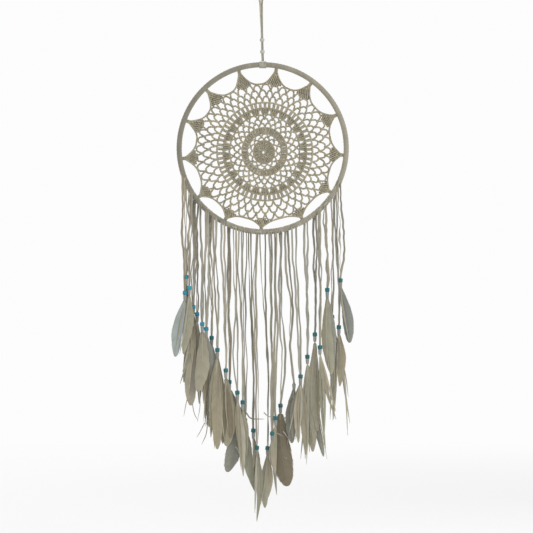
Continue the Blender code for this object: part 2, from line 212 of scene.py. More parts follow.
# Each strand's feathers, in millimetres: tip x and z, full width, bow to the right, depth of the tip in
# front of (-) or behind (+) the strand, how pointed it is from 0 to 1, and its colour.
FEATHERS = {
    "01a": ((-158, -687, 20, -5, 1.5, 0.1, BLUE_GREY), (-151, -668, 12, -2, 3.0, 0.4, BLUE_GREY)),
    "01c": ((-143, -682, 20, 3, -2.0, 0.5, OLIVE), (-134, -655, 14, 3, 2.0, 0.4, BEIGE)),
    "01b": ((-136, -625, 12, 0, 3.0, 0.4, OLIVE),),
    "02b": ((-134, -748, 20, 5, 3.0, 0.3, OLIVE), (-126, -700, 15, 2, 1.0, 0.5, BEIGE)),
    "02a": (
        (-130, -778, 24, -6, -1.0, 0.0, PALE), (-143, -735, 13, -5, 2.0, 0.5, GREY),
        (-114, -775, 15, 3, 3.5, 0.6, BEIGE),
    ),
    "03a": ((-116, -752, 27, 4, -3.5, 0.2, BEIGE), (-103, -770, 17, 5, 1.5, 0.4, BROWN)),
    "03b": ((-95, -790, 17, -2, 3.0, 0.5, OLIVE), (-92, -745, 18, 3, 2.0, 0.3, GREY)),
    "04a": ((-96, -818, 20, -3, 0.0, 0.5, BEIGE), (-82, -800, 17, 4, 3.5, 0.4, GREY)),
    "05a": (
        (-80, -858, 25, 1, -3.0, 0.3, BEIGE), (-92, -836, 15, -3, -1.0, 0.7, OLIVE),
        (-70, -848, 17, 3, 2.5, 0.4, BROWN),
    ),
    "05b": ((-63, -853, 25, 6, 3.0, 0.1, OLIVE), (-55, -838, 15, 4, 1.0, 0.3, BROWN)),
    "06a": ((-62, -902, 34, 17, 1.5, 0.0, GREY), (-50, -850, 17, 4, 4.0, 0.4, BEIGE)),
    "07a": ((-32, -908, 13, 3, -3.0, 0.7, PALE), (-38, -862, 13, -1, 1.0, 0.5, BEIGE)),
    "07b": ((-26, -870, 12, 2, 2.5, 0.5, OLIVE),),
    "08a": ((-9, -940, 20, -5, -1.0, 0.6, OLIVE), (-22, -900, 16, 1, 2.5, 0.4, BEIGE)),
    "08b": ((-9, -930, 15, 3, 3.0, 0.5, BROWN),),
    "09a": ((-7, -992, 14, 5, -1.5, 0.9, OLIVE), (-3, -945, 10, 2, 2.0, 0.5, PALE)),
    "10a": ((8, -968, 19, -3, -1.0, 0.3, OLIVE), (13, -950, 13, 4, 2.5, 0.3, BEIGE)),
    "11b": ((30, -943, 8, -1, 2.0, 0.9, OLIVE), (22, -890, 11, -2, 3.0, 0.5, PALE)),
    "11a": ((27, -905, 13, -3, 1.0, 0.4, BEIGE),),
    "12a": ((50, -928, 40, -5, -1.5, 0.0, BROWN), (40, -905, 22, -6, 2.5, 0.3, BEIGE)),
    "12b": ((58, -848, 21, -4, 2.0, 0.2, GREY),),
    "13a": (
        (70, -846, 16, -4, -3.0, 0.4, BEIGE), (84, -868, 16, 2, -1.0, 0.5, OLIVE),
        (60, -838, 14, -6, 2.0, 0.3, GREY),
    ),
    "14a": (
        (83, -878, 12, -3, -2.0, 0.9, PALE), (97, -864, 21, 2, 1.0, 0.25, BEIGE),
        (117, -873, 14, -4, 3.0, 0.1, GREY),
    ),
    "14b": ((106, -825, 20, -4, 1.0, 0.25, BEIGE), (98, -850, 14, -5, 3.0, 0.5, OLIVE)),
    "15a": ((140, -803, 7, -5, -1.0, 0.9, BEIGE), (117, -852, 6, 5, 1.5, 0.9, OLIVE)),
    "15b": (
        (131, -719, 23, -5, -2.0, 0.15, OLIVE), (124, -690, 13, -3, 2.0, 0.4, BEIGE),
        (136, -700, 14, 3, 3.0, 0.4, GREY),
    ),
    "16a": ((134, -745, 21, 3, 0.0, 0.4, BEIGE), (136, -804, 9, 4, 3.5, 0.8, OLIVE)),
    "16b": (
        (147, -742, 18, 3, -1.0, 0.5, BEIGE), (166, -811, 5, -2, 3.0, 0.9, PALE),
        (162, -834, 5, 3, 1.0, 0.9, BEIGE),
    ),
    "17a": ((165, -661, 20, 4, -1.0, 0.1, SLATE), (158, -640, 14, 4, 2.0, 0.3, OLIVE)),
}
# How many thin feathers hang among a strand's broad ones, where it isn't one.
HACKLES = {
    "01c": 2, "02a": 5, "02b": 4, "03a": 4, "03b": 6, "04a": 10, "05a": 8, "05b": 3, "07a": 2,
    "12a": 0, "13a": 6, "14a": 7, "14b": 2, "15a": 3, "15b": 5, "16a": 4, "16b": 2, "17a": 2,
}

# A stray quill a row, in millimetres: its strand, the places (x, z) it runs through, and its half width.
STRAYS = (
    ("08a", ((-27, -791), (-17, -802), (7, -803)), 1.3),
    ("11b", ((6, -790), (13, -796), (21, -799)), 1.2),
    ("11b", ((23, -826), (32, -829), (42, -834)), 0.9),
    ("12a", ((40, -800), (56, -802), (61, -795)), 1.5),
    ("02a", ((-132, -752), (-138, -772), (-143, -799)), 0.9),
    ("02a", ((-128, -762), (-124, -790), (-116, -807)), 0.9),
    ("03a", ((-114, -742), (-112, -775), (-117, -807)), 0.8),
    ("03a", ((-108, -738), (-104, -775), (-106, -808)), 0.8),
    ("04a", ((-104, -810), (-112, -826), (-119, -838)), 0.8),
    ("04a", ((-98, -800), (-101, -830), (-110, -851)), 0.9),
    ("16b", ((150, -690), (158, -722), (163, -762)), 1.1),
)

SHARP_ANGLE = math.radians(50)

# Section outlines about (0, 0), anticlockwise, of half size 1.
BLADE = np.array(((1, 0), (0, 1), (-1, 0), (0, -1)), float)
STRAP = np.array(
    ((1, 0.5), (0.8, 1), (-0.8, 1), (-1, 0.5), (-1, -0.5), (-0.8, -1), (0.8, -1), (1, -0.5)), float
)


def round_section(sides):
    turns = np.arange(sides) * math.tau / sides
    return np.stack((np.cos(turns), np.sin(turns)), axis=1)


def linear(colour):
    """The linear values of an 8-bit sRGB colour."""
    share = np.asarray(colour, float) / 255
    return np.where(share <= 0.04045, share / 12.92, ((share + 0.055) / 1.055) ** 2.4)


def unit(vectors):
    return vectors / np.maximum(np.linalg.norm(vectors, axis=-1, keepdims=True), 1e-12)


def quads_of(*corners):
    """One four-sided face for each place in four arrays of point numbers."""
    return np.stack([corner.reshape(-1) for corner in corners], axis=1)


class Build:
    """Collects closed shells, each with a colour, and makes one mesh of them."""

    def __init__(self):
        self.points = []
        self.faces = []
        self.colours = []
        self.count = 0

    def add(self, points, faces, colour):
        points = points.reshape(-1, 3)
        self.points.append(points)
        self.faces.extend((np.asarray(faces) + self.count).tolist())
        colours = np.ones((len(points), 4))
        colours[:, :3] = linear(colour)
        self.colours.append(colours)
        self.count += len(points)

    def tubes(self, lines, up, half_width, half_height, section, colour, turn=0.0, closed=False):
        """Carries a section along each line of (lines, rings, 3); its height points along up.

        The colour is one for all of it, or one for each ring.
        """
        lines = np.asarray(lines, float)
        if lines.ndim == 2:
            lines = lines[None]
        if closed:
            along = np.roll(lines, -1, axis=1) - np.roll(lines, 1, axis=1)
        else:
            along = np.gradient(lines, axis=1)
        along = unit(along)
        side = unit(np.cross(along, np.broadcast_to(up, lines.shape)))
        normal = np.cross(side, along)
        turn = np.broadcast_to(turn, lines.shape[:2])[..., None]
        wide_way = side * np.cos(turn) + normal * np.sin(turn)
        high_way = normal * np.cos(turn) - side * np.sin(turn)
        wide = np.broadcast_to(half_width, lines.shape[:2])[..., None]
        high = np.broadcast_to(half_height, lines.shape[:2])[..., None]
        points = (
            lines[:, :, None]
            + section[None, None, :, :1] * (wide_way * wide)[:, :, None]
            + section[None, None, :, 1:] * (high_way * high)[:, :, None]
        )
        index = np.arange(points[..., 0].size).reshape(points.shape[:3])
        beside = np.roll(index, -1, axis=2)
        if closed:
            quads = quads_of(index, np.roll(index, -1, 1), np.roll(beside, -1, 1), beside)
        else:
            quads = quads_of(index[:, :-1], index[:, 1:], beside[:, 1:], beside[:, :-1])
        if np.ndim(colour) > 1:
            colour = np.repeat(np.broadcast_to(colour, lines.shape).reshape(-1, 3), len(section), axis=0)
        start = self.count
        self.add(points, quads, colour)
        if not closed:
            self.faces.extend((index[:, 0] + start).tolist())
            self.faces.extend((index[:, -1, ::-1] + start).tolist())

    def turned(self, profile, centre, steps, colour, axis=UP):
        """Turns a closed profile of (radius, height) points, up its outside first, about an axis."""
        profile = np.asarray(profile, float)
        across = unit(np.cross(axis, TOWARDS_VIEWER if abs(axis[1]) < 0.9 else UP))
        other = np.cross(axis, across)
        turns = np.arange(steps) * math.tau / steps
        ways = np.cos(turns)[:, None] * across + np.sin(turns)[:, None] * other
        points = (
            np.asarray(centre)
            + profile[None, :, :1] * ways[:, None]
            + profile[None, :, 1:] * np.asarray(axis, float)
        )
        index = np.arange(steps * len(profile)).reshape(steps, -1)
        after = np.roll(index, -1, axis=0)
        quads = quads_of(index, after, np.roll(after, -1, axis=1), np.roll(index, -1, axis=1))
        self.add(points, quads, colour)

    def piece(self, name, material, body=None):
        """Makes the piece, which rides on the body if one is given."""
        mesh = bpy.data.meshes.new(name)
        mesh.from_pydata(np.concatenate(self.points).tolist(), [], self.faces)
        dye = mesh.color_attributes.new("dye", "FLOAT_COLOR", "POINT")
        dye.data.foreach_set("color", np.concatenate(self.colours).astype(np.float32).ravel())
        mesh.materials.append(material)
        mesh.shade_smooth()
        mesh.set_sharp_from_angle(angle=SHARP_ANGLE)
        mesh.update()
        made = bpy.data.objects.new(name, mesh)
        bpy.context.scene.collection.objects.link(made)
        if body:
            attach(made, body)
        return made


def resampled(line, step, closed=False):
    """Points about a step apart along a line."""
    line = np.asarray(line, float)
    if closed:
        line = np.concatenate((line, line[:1]))
    walked = np.append(0, np.cumsum(np.linalg.norm(np.diff(line, axis=0), axis=1)))
    count = max(3, round(walked[-1] / step))
    wanted = np.linspace(0, walked[-1], count + 1)
    if closed:
        wanted = wanted[:-1]
    return np.stack([np.interp(wanted, walked, line[:, i]) for i in range(3)], axis=1)


def at_places(values, places):
    return np.stack([np.interp(places, np.arange(len(values)), values[:, i]) for i in range(3)], axis=1)


def length_of(line):
    return float(np.linalg.norm(np.diff(np.asarray(line), axis=0), axis=1).sum())


def through(values, shares):
    """A smooth run through evenly spaced values, read at shares from 0 to 1."""
    values = np.asarray(values, float)
    place = np.clip(shares, 0, 1) * (len(values) - 1)
    left = np.minimum(place.astype(int), len(values) - 2)
    t = place - left
    padded = np.concatenate((values[:1] * 2 - values[1:2], values, values[-1:] * 2 - values[-2:-1]))
    a, b, c, d = (padded[left + i] for i in range(4))
    squared, cubed = 2 * a - 5 * b + 4 * c - d, 3 * b - a - 3 * c + d
    return 0.5 * (2 * b + (c - a) * t + squared * t**2 + cubed * t**3)


def wander(rng, shares, waves=3):
    """A slow, smooth random run between about -1 and 1."""
    total = np.zeros_like(shares)
    for wave in range(1, waves + 1):
        height = rng.uniform(-1, 1) / wave
        total += height * np.sin(math.tau * wave * shares / 2 + rng.uniform(0, math.tau))
    return total


def varied(colour, rng, spread=8):
    """The colour, a little lighter or darker and a little warmer or cooler."""
    lighter = rng.uniform(-spread, spread)
    warmer = rng.uniform(-spread, spread) / 3
    return tuple(np.clip(np.array(colour, float) + lighter + np.array((warmer, 0, -warmer)), 0, 255))


def add_yarn(build, line, half_width, colour, closed):
    """A soft yarn: two plies twisted round the line."""
    pitch = half_width * 3.6
    points = resampled(line, pitch / 5.5, closed)
    length = length_of(points)
    turns = max(1, round(length / pitch)) if closed else length / pitch
    phase = np.linspace(0, math.tau * turns, len(points), endpoint=not closed)
    if closed:
        along = unit(np.roll(points, -1, axis=0) - np.roll(points, 1, axis=0))
    else:
        along = unit(np.gradient(points, axis=0))
    side = unit(np.cross(along, np.broadcast_to(TOWARDS_VIEWER, points.shape)))
    normal = np.cross(side, along)
    ply_half_width = 0.56 * half_width
    for start in (0, math.pi):
        angle = (phase + start)[:, None]
        line = points + 0.46 * half_width * (np.cos(angle) * side + np.sin(angle) * normal)
        build.tubes(
            line, TOWARDS_VIEWER, ply_half_width, ply_half_width, round_section(5), colour, closed=closed
        )


# ---- materials


def new_material(name, **sockets):
    material = bpy.data.materials.new(name)
    material.use_nodes = True
    shader = material.node_tree.nodes["Principled BSDF"]
    for socket, value in sockets.items():
        shader.inputs[socket.replace("_", " ")].default_value = value
    return material


def add_node(material, kind, settings=(), **inputs):
    node = material.node_tree.nodes.new(kind)
    for name, value in dict(settings).items():
        setattr(node, name, value)
    for name, value in inputs.items():
        socket = node.inputs[name.replace("_", " ")]
        if isinstance(value, bpy.types.NodeSocket):
            material.node_tree.links.new(value, socket)
        else:
            socket.default_value = value
    return node


def stretched_coordinates(material, stretch):
    where = add_node(material, "ShaderNodeTexCoord")
    scaled = add_node(material, "ShaderNodeMapping", Vector=where.outputs["Object"], Scale=stretch)
    return scaled.outputs["Vector"]


def noise(material, where, scale, detail=4.0, roughness=0.6):
    made = add_node(
        material, "ShaderNodeTexNoise", Vector=where, Scale=scale, Detail=detail, Roughness=roughness
    )
    return made.outputs["Fac"]


def levels(material, value, to_low, to_high, low=0.3, high=0.7):
    """Maps low..high onto to_low..to_high; a noise mostly lies between 0.3 and 0.7."""
    made = add_node(material, "ShaderNodeMapRange", Value=value)
    ends = {"From Min": low, "From Max": high, "To Min": to_low, "To Max": to_high}
    for socket, number in ends.items():
        made.inputs[socket].default_value = number
    return made.outputs["Result"]


def product(material, *factors):
    made = add_node(material, "ShaderNodeMath", {"operation": "MULTIPLY"})
    for factor, socket in zip(factors, made.inputs):
        material.node_tree.links.new(factor, socket)
    return made.outputs[0]


def finish_material(material, colour, shade, roughness, height=None, bump=0.2, distance=0.2 * MM):
    """Links the colour times its shade, the roughness and, where there is one, the relief."""
    tree = material.node_tree
    shader = tree.nodes["Principled BSDF"]
    scaled = add_node(material, "ShaderNodeVectorMath", {"operation": "SCALE"}, Scale=shade)
    tree.links.new(colour, scaled.inputs[0])
    tree.links.new(scaled.outputs["Vector"], shader.inputs["Base Color"])
    tree.links.new(roughness, shader.inputs["Roughness"])
    if height is not None:
        relief = add_node(material, "ShaderNodeBump", Strength=bump, Distance=distance, Height=height)
        tree.links.new(relief.outputs["Normal"], shader.inputs["Normal"])
    return material


def dyed(material):
    return add_node(material, "ShaderNodeAttribute", {"attribute_name": "dye"}).outputs["Color"]


def lace_material():
    """Napped suede lace: streaks of fibre along its length and darker worn patches."""
    material = new_material("suede_lace", Sheen_Weight=0.35, Sheen_Roughness=0.5)
    fibres = noise(material, stretched_coordinates(material, (1, 1, 0.12)), 1900, 5, 0.7)
    patches = noise(material, stretched_coordinates(material, (1, 1, 0.4)), 70, 3)
    shade = product(material, levels(material, fibres, 0.84, 1.12), levels(material, patches, 0.86, 1.1))
    roughness = levels(material, fibres, 0.8, 0.98)
    return finish_material(material, dyed(material), shade, roughness, fibres, 0.5, 0.4 * MM)


def yarn_material(name, fineness):
    """Spun cotton: fine fibres, and small darker flecks of noise that paint the shade between the
    stitches.
    """
    material = new_material(name, Sheen_Weight=0.25, Sheen_Roughness=0.5)
    where = stretched_coordinates(material, (1, 1, 1))
    fibres = noise(material, where, fineness, 4, 0.7)
    painted_shade_flecks = levels(material, noise(material, where, fineness / 6, 2), 0.68, 1.14, 0.35, 0.6)
    shade = product(material, levels(material, fibres, 0.82, 1.14), painted_shade_flecks)
    roughness = levels(material, fibres, 0.8, 0.96)
    return finish_material(material, dyed(material), shade, roughness, fibres, 0.5, 0.3 * MM)


def feather_material():
    """Barbs: soft bands across the vane, fine lines along the barbs and a low silky gloss."""
    material = new_material("feather_vane", Sheen_Weight=0.3)
    lines = noise(material, stretched_coordinates(material, (1, 1, 0.5)), 1500, 3)
    bands = noise(material, stretched_coordinates(material, (0.5, 0.5, 1)), 120, 2)
    shade = product(material, levels(material, lines, 0.9, 1.1), levels(material, bands, 0.96, 1.03))
    return finish_material(material, dyed(material), shade, levels(material, lines, 0.5, 0.75), lines)


def glass_material():
    """Turquoise glass with faint streaks."""
    material = new_material(
        "turquoise_glass", IOR=1.5, Transmission_Weight=0.1, Coat_Weight=0.1, Coat_Roughness=0.05
    )
    streaks = noise(material, stretched_coordinates(material, (1, 1, 0.3)), 500, 3)
    roughness = levels(material, streaks, 0.08, 0.2)
    return finish_material(material, dyed(material), levels(material, streaks, 0.8, 1.2), roughness)


def sleeve_material():
    """The semi-clear, slightly milky sleeve that holds the quills."""
    material = new_material("quill_sleeve", IOR=1.45, Transmission_Weight=0.35)
    haze = noise(material, stretched_coordinates(material, (1, 1, 0.3)), 700, 3)
    shade = levels(material, haze, 0.85, 1.12)
    return finish_material(material, dyed(material), shade, levels(material, haze, 0.25, 0.5), haze)


def wood_material():
    """Pale turned wood: fine grain lines along the bead and small pores."""
    material = new_material("pale_wood", Coat_Weight=0.15, Coat_Roughness=0.3)
    grain = noise(material, stretched_coordinates(material, (1, 1, 0.15)), 900, 5, 0.7)
    shade = levels(material, grain, 0.86, 1.1)
    roughness = levels(material, grain, 0.4, 0.65)
    return finish_material(material, dyed(material), shade, roughness, grain, 0.25)


def steel_material():
    """Drawn steel wire with brushed lines and dull spots."""
    material = new_material("hoop_steel", Metallic=1.0)
    lines = noise(material, stretched_coordinates(material, (1, 6, 1)), 500, 4)
    steel = add_node(material, "ShaderNodeRGB").outputs[0]
    steel.default_value = STEEL_COLOUR
    shade = levels(material, lines, 0.75, 1.1)
    return finish_material(material, steel, shade, levels(material, lines, 0.35, 0.6), lines)


# ---- hanger


def cord_axis_point(drop):
    """The doubled cord's middle at a height under the hook."""
    knot_top = KNOT_PLACE + UP * KNOT_OUTER_RADIUS
    return knot_top * (drop / -knot_top[2])


def loop_half_width(drop):
    """The loop is widest just under the hook and closes to two touching cords below it."""
    if drop < LOOP_HALF_WIDTH:
        return math.sqrt(LOOP_HALF_WIDTH**2 - (LOOP_HALF_WIDTH - drop) ** 2)
    share = min(1, (drop - LOOP_HALF_WIDTH) / LOOP_LENGTH)
    opened = (1 + math.cos(math.pi * share)) / 2
    return CORD_HALF_SPACING + (LOOP_HALF_WIDTH - CORD_HALF_SPACING) * opened


def make_loop(material):
    bottom = -(KNOT_PLACE[2] + KNOT_OUTER_RADIUS) - CORD_RADIUS
    drops = [LOOP_HALF_WIDTH * (1 - math.cos(math.radians(turn))) for turn in (15, 30, 45, 60, 75)]
    drops += list(np.linspace(LOOP_HALF_WIDTH, bottom, 16))
    right = [cord_axis_point(drop) + (loop_half_width(drop), 0, 0) for drop in drops]
    left = [cord_axis_point(drop) - (loop_half_width(drop), 0, 0) for drop in drops]
    route = np.array(left[::-1] + [np.zeros(3)] + right) - UP * CORD_RADIUS
    shares = np.linspace(0, 1, 261)
    line = np.stack([through(route[:, i], shares) for i in range(3)], axis=1)
    drop = -line[:, 2]
    width = np.interp(drop, np.array((6, 25, 80, 130)) * MM, np.array((1.5, 1.75, 1.1, 1.15)) * MM)
    side = np.sign(shares - 0.5)[:, None] * np.maximum(width - CORD_HALF_SPACING, 0)[:, None]
    line = line + side * np.array((1.0, 0, 0))
    build = Build()
    rng = np.random.default_rng(3)
    turn = 0.25 * wander(rng, shares, 8)
    # Painted shade: the right-hand cord of the loop is darker than the left.
    colour = np.array(CORD_COLOUR) * np.where(shares > 0.5, 0.86, 1.0)[:, None]
    build.tubes(line, TOWARDS_VIEWER, width, 0.75 * MM, STRAP, colour, turn)
    loop = build.piece("hanging_cord", material, "hanger")
    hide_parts("hanging_loop")


def make_hanger_beads(material):
    axis = unit(cord_axis_point(0.1) - cord_axis_point(0.2))
    rim = math.asin(HANGER_BEAD_HOLE / HANGER_BEAD_RADIUS)
    turns = np.linspace(math.pi - rim, rim, 17)
    profile = np.stack((np.sin(turns), np.cos(turns)), axis=1) * HANGER_BEAD_RADIUS
    for body, drop in HANGER_BEADS.items():
        build = Build()
        build.turned(profile, cord_axis_point(drop), 40, WOOD_COLOUR, axis)
        bead = build.piece(f"wood_{body}", material, body)
        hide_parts("hanger_bead_" + body.split("_")[0])


def make_hanger_knot(material):
    """Flat turns of the hanging cord side by side round the top of the hoop."""
    axis = np.array((1.0, 0.0, 0.0))
    rng = np.random.default_rng(4)
    build = Build()
    for turn in range(KNOT_TURNS):
        middle = KNOT_PLACE + axis * (turn - (KNOT_TURNS - 1) / 2) * KNOT_PITCH
        around = np.arange(32) * math.tau / 32
        out = UP * np.cos(around)[:, None] + TOWARDS_VIEWER * np.sin(around)[:, None]
        lean = axis * (rng.uniform(-0.25, 0.25) * MM * np.cos(around))[:, None]
        line = middle + out * (TUBE_RADIUS + rng.uniform(0.75, 1.0) * MM) + lean
        colour = varied(KNOT_COLOUR, rng, 7)
        build.tubes(line, out, 1.12 * MM, 0.6 * MM, round_section(8), colour, closed=True)
    made = build.piece("cord_round_hoop", material, "knot")
    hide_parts("hanger_knot")


# ---- hoop


def ring_frame(angle):
    """Outward way and tangent at an angle clockwise from the top of the hoop."""
    out = np.stack((np.sin(angle), np.zeros_like(angle), np.cos(angle)), axis=-1)
    along = np.stack((np.cos(angle), np.zeros_like(angle), -np.sin(angle)), axis=-1)
    return out, along


def hoop_colour_with_painted_shade(angle):
    """The lace's colour round the hoop, with painted shade: darkest on the left, lighter at the right
    and bottom.
    """
    share = np.asarray(angle) / math.tau % 1.0
    return np.array(HOOP_COLOUR) * through((0.94, 1.03, 1.05, 0.87, 0.94), share)[..., None]


def make_wrap(material):
    """Flat lace wound slantwise round the upper hoop, each turn's edge over the last."""
    start, end = KNOTS_END - math.tau, KNOTS_START
    turns = round((end - start) * HOOP_RADIUS / WRAP_PITCH)
    rings, sides = turns * WRAP_RINGS_A_TURN, WRAP_SIDES
    angle = np.linspace(start, end, rings)[:, None]
    around = (np.arange(sides) * math.tau / sides)[None, :]
    rng = np.random.default_rng(5)
    uneven = 0.18 * rng.uniform(-1, 1, turns + 2)
    phase = (angle - start) / (end - start) * turns - WRAP_LACES * around / math.tau
    whole = np.floor(phase).astype(int)
    share = phase - whole
    edge = np.clip(share / 0.08, 0, 1) * (1 - 0.75 * share)
    radius = TUBE_RADIUS - 0.4 * MM + (0.5 + uneven[whole % len(uneven)] * 0.4) * edge * MM
    out, _ = ring_frame(angle[:, 0])
    points = (
        HOOP_CENTRE
        + out[:, None] * (HOOP_RADIUS + radius * np.cos(around))[..., None]
        + TOWARDS_VIEWER * (radius * np.sin(around))[..., None]
    )
    index = np.arange(rings * sides).reshape(rings, sides)
    beside = np.roll(index, -1, axis=1)
    quads = quads_of(index[:-1], beside[:-1], beside[1:], index[1:])
    build = Build()
    build.add(points, quads, np.repeat(hoop_colour_with_painted_shade(angle[:, 0]), sides, axis=0))
    build.faces.append(index[0, ::-1].tolist())
    build.faces.append(index[-1].tolist())
    made = build.piece("hoop_lace_wrap", material, "hoop")
    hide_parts("hoop_wrap")


def ridge(angle, tilt, lift):
    """A closed turn of lace round the hoop's tube."""
    turns = np.arange(22) * math.tau / 22
    place = angle + tilt * np.cos(turns)
    out, _ = ring_frame(place)
    radius = TUBE_RADIUS + lift
    return (
        HOOP_CENTRE
        + out * (HOOP_RADIUS + radius * np.cos(turns))[:, None]
        + TOWARDS_VIEWER * (radius * np.sin(turns))[:, None]
    )


def hoop_angle(x):
    """The angle on the lower hoop, clockwise from its top, at a place across."""
    return math.pi - math.asin((x - HOOP_CENTRE[0]) / HOOP_RADIUS)


def make_ridges(material):
    """The lower hoop's row of lace turns."""
    rng = np.random.default_rng(11)
    count = round((KNOTS_END - KNOTS_START) * HOOP_RADIUS / RIDGE_PITCH)
    build = Build()
    for step in range(count):
        angle = KNOTS_START + (KNOTS_END - KNOTS_START) * (step + 0.5) / count
        line = ridge(angle, rng.uniform(-0.004, 0.004), rng.uniform(-0.75, -0.4) * MM)
        out, _ = ring_frame(np.array([angle]))
        outward = unit(line - (HOOP_CENTRE + out * HOOP_RADIUS))
        colour = varied(hoop_colour_with_painted_shade(angle), rng, 9)
        build.tubes(line, outward, 1.66 * MM, 0.85 * MM, round_section(8), colour, closed=True)
    made = build.piece("hoop_lace_ridges", material, "hoop")
    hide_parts("hoop_knots")


def make_strand_knots(material):
    """Over each strand's two tails, the bar of its knot, from one turn of lace to another."""
    rng = np.random.default_rng(12)
    build = Build()
    for depth, _, left, right in STRANDS.values():
        middle = hoop_angle((left[0] + right[0]) / 2 * MM)
        reach = 5.4 * MM / HOOP_RADIUS
        shares = np.linspace(-1, 1, 13)
        out, _ = ring_frame(middle + reach * shares)
        bulge = np.sqrt(np.clip(1 - shares**2, 0, 1)) ** 0.6
        stand = (4.0 + 3.6 * bulge) * MM
        line = HOOP_CENTRE + out * (HOOP_RADIUS + 0.4 * MM)
        line = line - TOWARDS_VIEWER * (math.copysign(1, depth) * stand)[:, None]
        build.tubes(line, out, 0.6 * MM, 1.55 * MM, STRAP, varied(hoop_colour_with_painted_shade(middle), rng, 8))
    made = build.piece("strand_knot_bars", material, "hoop")


# ---- web


def web_place(angle, radius):
    """A place on the web. Worked by hand, its inner rings are narrow and its middle rings drift."""
    angle, radius = np.broadcast_arrays(np.asarray(angle, float), np.asarray(radius, float))
    wide = np.interp(radius, (20 * MM, 130 * MM), (0.96, 1.0))
    tall = np.interp(radius, (20 * MM, 110 * MM), (1.05, 1.0))
    drift = np.sin(np.clip(radius / (140 * MM), 0, 1) * math.pi)
    x = radius * np.sin(angle) * wide + 3.0 * MM * drift
    z = radius * np.cos(angle) * tall + 2.0 * MM * drift
    return WEB_CENTRE + np.stack((x, np.zeros_like(x), z), axis=-1)


def edge_radius(angle):
    """How far the web's scalloped edge is from its middle."""
    turns = np.append(WEB_POINTS, WEB_POINTS[0] + math.tau)
    angle = (np.asarray(angle, float) - turns[0]) % math.tau + turns[0]
    slot = np.clip(np.searchsorted(turns, angle, side="right") - 1, 0, len(turns) - 2)
    share = (angle - turns[slot]) / (turns[slot + 1] - turns[slot])
    shift = WEB_CENTRE - HOOP_CENTRE
    along = shift[0] * np.sin(angle) + shift[2] * np.cos(angle)
    reach = -along + np.sqrt(along**2 + WEB_REACH**2 - shift @ shift)
    dip = 1 - np.abs(1 - 2 * share) ** 2.7
    return reach + (WEB_DIP_RADIUS - reach) * dip


def post(angle, inner, outer, lean=0.0):
    shares = np.linspace(0, 1, 4)
    return web_place(angle + lean * shares, inner + (outer - inner) * shares)


def loop(start, end, foot, top):
    """A chain that rises from the row below and comes back to it."""
    shares = 0.5 - 0.5 * np.cos(np.linspace(0, math.pi, 13))
    rise = 1 - np.abs(2 * shares - 1) ** 3.1
    return web_place(start + (end - start) * shares, foot + (top - foot) * rise)


class Web:
    """Adds crocheted yarn to a build, each stitch at its own small depth and shade."""

    def __init__(self, seed):
        self.build = Build()
        self.rng = np.random.default_rng(seed)

    def yarn(self, line, half_width, closed=False, depth=0.0, shade=1.0):
        colour = varied(np.array(WEB_COLOUR) * shade, self.rng, 9)
        shift = TOWARDS_VIEWER * (depth + self.rng.uniform(-0.2, 0.2) * MM)
        add_yarn(self.build, line + shift, half_width, colour, closed)

    def ring(self, radius, half_width, depth):
        line = web_place(np.linspace(0, math.tau, 181)[:-1], radius * MM)
        self.yarn(line, half_width * MM, True, depth * MM)

    def band(self, count, inner, outer, half_width, shadow_yarn_half_width, shadow_yarn_shade):
        """Posts side by side all the way round, then darker yarn between them as painted shade."""
        looks = ((0.0, half_width, 1.0), (math.tau / (2 * count), shadow_yarn_half_width, shadow_yarn_shade))
        for start, wide, shade in looks:
            for step in range(count):
                angle = start + (step + self.rng.uniform(-0.15, 0.15)) * math.tau / count
                self.yarn(post(angle, inner * MM, outer * MM), wide * MM, shade=shade)

    def rows(self, count, rows, half_width):
        """Rows of loops, each row half a loop on from the last."""
        for number, (foot, top) in enumerate(rows):
            places = (np.arange(count + 1) + number / 2) * (math.tau / count)
            self.row(places, foot * MM, top * MM, half_width * MM)

    def row(self, places, foot, top, half_width):
        """A row of loops between neighbouring places, with a stitch over the feet where two meet."""
        pitch = (places[-1] - places[0]) / (len(places) - 1)
        shift = self.rng.uniform(-0.1, 0.1, len(places) - 1) * pitch
        places = places + np.append(shift, shift[0])
        for start, end in zip(places, places[1:]):
            high = top + self.rng.uniform(-1.1, 1.1) * MM
            self.yarn(loop(start, end, foot, high), half_width)
            self.yarn(post(start, foot - 1.2 * MM, foot + 3.2 * MM), 1.9 * MM)

    def fill(self, middle, steps, spacing, inner, outer, lean, half_width):
        """Posts side by side, with darker yarn deep between them as painted shade."""
        for step in range(2 * steps - 1):
            side = step / 2 - (steps - 1) / 2
            line = post(middle + side * spacing, inner, outer, side * lean)
            # Painted shade: every other post is thinner, darker yarn standing for the shade between
            # posts.
            if step % 2:
                self.yarn(line, 0.62 * half_width, shade=0.6)
            else:
                self.yarn(line, half_width)


def make_inner_web(material):
    web = Web(21)
    web.ring(*HUB_RING)
    web.band(*CENTRE_POSTS)
    web.ring(*CENTRE_RING)
    web.band(*DISC_POSTS)
    for ring in DISC_RINGS:
        web.ring(*ring)
    web.rows(INNER_LOOP_COUNT, INNER_LOOPS, INNER_LOOP_YARN_HALF_WIDTH)
    web.ring(*BAND_RINGS[0])
    web.band(*BAND_POSTS)
    web.ring(*BAND_RINGS[1])
    web.rows(FAN_COUNT, MIDDLE_LOOPS, LOOP_YARN_HALF_WIDTH)
    make_fans(web)
    web.ring(*RIM_RINGS[0])
    make_pairs(web)
    web.ring(*RIM_RINGS[1])
    made = web.build.piece("web_medallion", material, "hoop")
    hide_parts("web")


def make_fans(web):
    """Fans of posts, each with an arch to the next."""
    pitch = math.tau / FAN_COUNT
    inner, outer = np.array(FAN_REACH) * MM
    foot, top = np.array(ARCH_REACH) * MM
    for step in range(FAN_COUNT):
        middle = (step + 2.0) * pitch
        web.fill(middle, FAN_POSTS, FAN_SPACING, inner, outer, FAN_LEAN, 2.1 * MM)
        web.yarn(loop(middle + ARCH_INSET, middle + pitch - ARCH_INSET, foot, top), 1.9 * MM)


